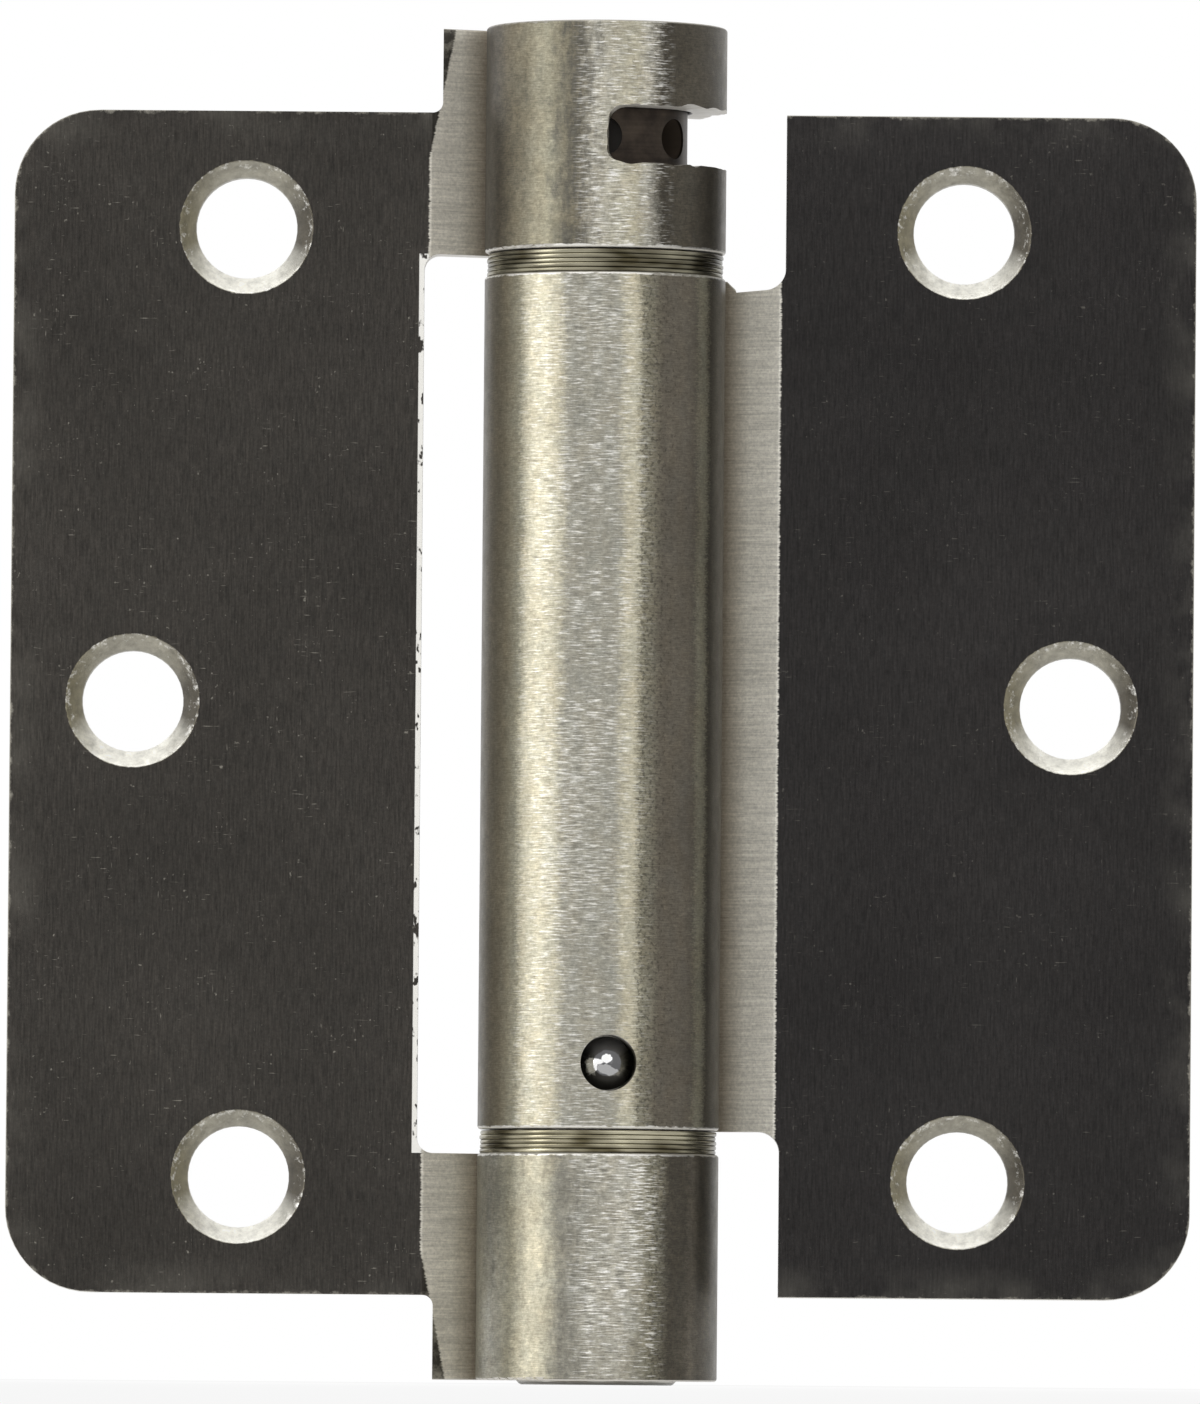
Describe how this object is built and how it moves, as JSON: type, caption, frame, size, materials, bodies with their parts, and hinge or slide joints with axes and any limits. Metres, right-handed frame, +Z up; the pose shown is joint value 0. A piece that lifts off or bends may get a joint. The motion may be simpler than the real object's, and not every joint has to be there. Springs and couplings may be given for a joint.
{
  "type": "spring loaded door hinge",
  "caption": "Spring butt hinge that shuts a door: flat steel leaves with rounded corners and countersunk screw holes, and a rolled barrel round a torsion spring with a tension adjuster.",
  "frame": {"origin": "on the barrel's axis at its mid height", "axes": "+Z up along the barrel, -Y towards the countersunk front of both leaves, +X towards the door leaf"},
  "size_m": [0.0888, 0.018, 0.1019],
  "materials": {
    "leaf_steel": "satin nickel plated, brushed",
    "plug_steel": "turned, plain",
    "pin_steel": "polished",
    "spring_steel": "oil tempered",
    "washer_metal": "rolled bronze strip"
  },
  "bodies": {
    "frame": {"frame_leaf": "leaf_steel", "lower_washer_1": "washer_metal", "lower_washer_2": "washer_metal", "lower_washer_3": "washer_metal", "lower_washer_4": "washer_metal", "lower_washer_5": "washer_metal"},
    "door": {"door_leaf": "leaf_steel", "pivot_plug": "plug_steel", "anchor_pin": "pin_steel", "torsion_spring": "spring_steel", "upper_washer_1": "washer_metal", "upper_washer_2": "washer_metal", "upper_washer_3": "washer_metal", "upper_washer_4": "washer_metal", "upper_washer_5": "washer_metal"},
    "adjuster": {"tension_adjuster": "plug_steel"}
  },
  "joints": [
    {"name": "door_swing", "type": "hinge", "parent": "frame", "child": "door", "pos_m": [0, 0, 0], "axis": [0, 0, -1], "range_deg": [-20, 180], "deforming": ["torsion_spring"]},
    {"name": "adjuster_turn", "type": "hinge", "parent": "frame", "child": "adjuster", "pos_m": [0, 0, 0], "axis": [0, 0, -1], "range_deg": [0, 240], "deforming": ["torsion_spring"]}
  ]
}
